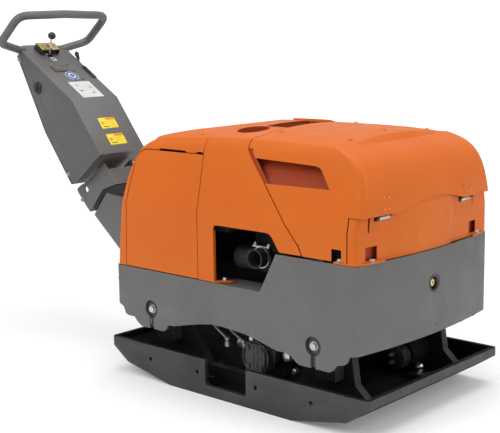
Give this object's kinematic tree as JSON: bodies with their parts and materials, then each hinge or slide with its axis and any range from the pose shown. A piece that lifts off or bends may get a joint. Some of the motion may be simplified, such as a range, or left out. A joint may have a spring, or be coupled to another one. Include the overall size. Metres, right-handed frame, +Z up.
{
  "type": "reversible hydraulic plate compactor",
  "caption": "Heavy reversible plate compactor: vibrating base with geared eccentric shafts under a rubber-mounted chassis with hinged covers and a tilting guide handle",
  "frame": {"origin": "centre of the base plate's flat underside, on the ground", "axes": "+X forward, away from the guide handle; +Y the machine's left side; +Z up"},
  "size_m": [1.7545, 0.66, 1.1455],
  "materials": {
    "orange_paint": "satin powder coat",
    "grey_paint": "satin powder coat, lightly speckled",
    "cast_iron": "rough casting, dark coating",
    "bright_steel": "zinc plated",
    "gold_steel": "yellow passivated",
    "brass": "machined",
    "black_rubber": "matt",
    "black_plastic": "satin moulded",
    "engine_alloy": "as cast",
    "display_glass": "glossy, tinted"
  },
  "bodies": {
    "base": {"base_plate": "cast_iron", "side_rib_right": "cast_iron", "side_rib_left": "cast_iron", "exciter_housing": "cast_iron", "exciter_cover_right": "cast_iron", "exciter_cover_left": "cast_iron", "hydraulic_motor": "cast_iron", "motor_end_cover": "cast_iron", "supply_hose": "black_rubber", "return_hose": "black_rubber", "oil_plug": "bright_steel"},
    "drive_rotor": {"drive_shaft": "bright_steel", "drive_gear": "bright_steel"},
    "driven_rotor": {"driven_shaft": "bright_steel", "driven_gear": "bright_steel"},
    "chassis": {"main_frame": "grey_paint", "isolator_rear_right": "black_rubber", "isolator_front_right": "black_rubber", "isolator_rear_left": "black_rubber", "isolator_front_left": "black_rubber", "isolator_bolt_rear_right": "bright_steel", "isolator_bolt_front_right": "bright_steel", "isolator_bolt_rear_left": "bright_steel", "isolator_bolt_front_left": "bright_steel", "drain_plug": "brass", "handle_bracket": "grey_paint", "handle_pin": "bright_steel", "engine_block": "engine_alloy", "hydraulic_pump": "cast_iron", "air_filter": "black_plastic", "battery": "black_plastic", "fuel_tank": "black_plastic", "fuel_cap": "black_plastic", "muffler": "cast_iron", "exhaust_pipe": "cast_iron", "exhaust_clamp": "bright_steel", "lifting_eye": "bright_steel", "rear_cover": "orange_paint", "front_panel": "orange_paint", "hood_hinge_right": "bright_steel", "hood_hinge_left": "bright_steel"},
    "flywheel": {"flywheel_fan": "engine_alloy"},
    "hood": {"front_hood": "orange_paint"},
    "right_door": {"right_door": "orange_paint"},
    "left_door": {"left_door": "orange_paint"},
    "handle": {"swing_arm": "grey_paint", "rubber_damper": "black_rubber", "arm_channel": "grey_paint", "console_box": "grey_paint", "console_rear_cover": "grey_paint", "handle_loop": "black_plastic", "control_valve": "black_plastic", "lever_bracket": "gold_steel", "display_window": "display_glass", "throttle_bracket": "black_plastic", "button_bezel": "black_plastic"},
    "direction_lever": {"direction_lever": "bright_steel", "direction_knob": "black_plastic"},
    "throttle_lever": {"throttle_lever": "black_plastic"},
    "push_button": {"push_button": "black_plastic"}
  },
  "joints": [
    {"name": "chassis_bounce", "type": "slide", "parent": "base", "child": "chassis", "axis": [0, 0, 1], "range_m": [-0.006, 0.006], "stiffness_N_per_m": 900000, "springref_m": 0.0023},
    {"name": "drive_shaft_spin", "type": "hinge", "parent": "base", "child": "drive_rotor", "pos_m": [0.065, 0, 0.1357], "axis": [0, 1, 0], "continuous": true},
    {"name": "driven_shaft_spin", "type": "hinge", "parent": "base", "child": "driven_rotor", "pos_m": [-0.065, 0, 0.1357], "axis": [0, 1, 0], "continuous": true},
    {"name": "flywheel_spin", "type": "hinge", "parent": "chassis", "child": "flywheel", "pos_m": [0.09, 0, 0.405], "axis": [0, 1, 0], "continuous": true},
    {"name": "hood_tilt", "type": "hinge", "parent": "chassis", "child": "hood", "pos_m": [0.457, 0, 0.5815], "axis": [0, 1, 0], "range_deg": [0, 60]},
    {"name": "right_door_swing", "type": "hinge", "parent": "chassis", "child": "right_door", "pos_m": [-0.266, -0.326, 0.3555], "axis": [1, 0, 0], "range_deg": [0, 85]},
    {"name": "left_door_swing", "type": "hinge", "parent": "chassis", "child": "left_door", "pos_m": [-0.266, 0.326, 0.3555], "axis": [-1, 0, 0], "range_deg": [0, 85]},
    {"name": "handle_tilt", "type": "hinge", "parent": "chassis", "child": "handle", "pos_m": [-0.54, 0, 0.27], "axis": [0, 1, 0], "range_deg": [-12, 32], "stiffness_Nm_per_rad": 2500, "springref_deg": 2.06},
    {"name": "direction_lever_tilt", "type": "hinge", "parent": "handle", "child": "direction_lever", "pos_m": [-1.18986, 0, 0.97985], "axis": [0, 1, 0], "range_deg": [-25, 25], "stiffness_Nm_per_rad": 2},
    {"name": "throttle_lever_swing", "type": "hinge", "parent": "handle", "child": "throttle_lever", "pos_m": [-1.15, 0.1155, 0.94], "axis": [0, 1, 0], "range_deg": [-25, 40]},
    {"name": "push_button_press", "type": "slide", "parent": "handle", "child": "push_button", "axis": [0, 1, 0], "range_m": [0, 0.003], "stiffness_N_per_m": 900}
  ],
  "couplings": [
    {"joint": "driven_shaft_spin", "follows": "drive_shaft_spin", "ratio": -1}
  ]
}
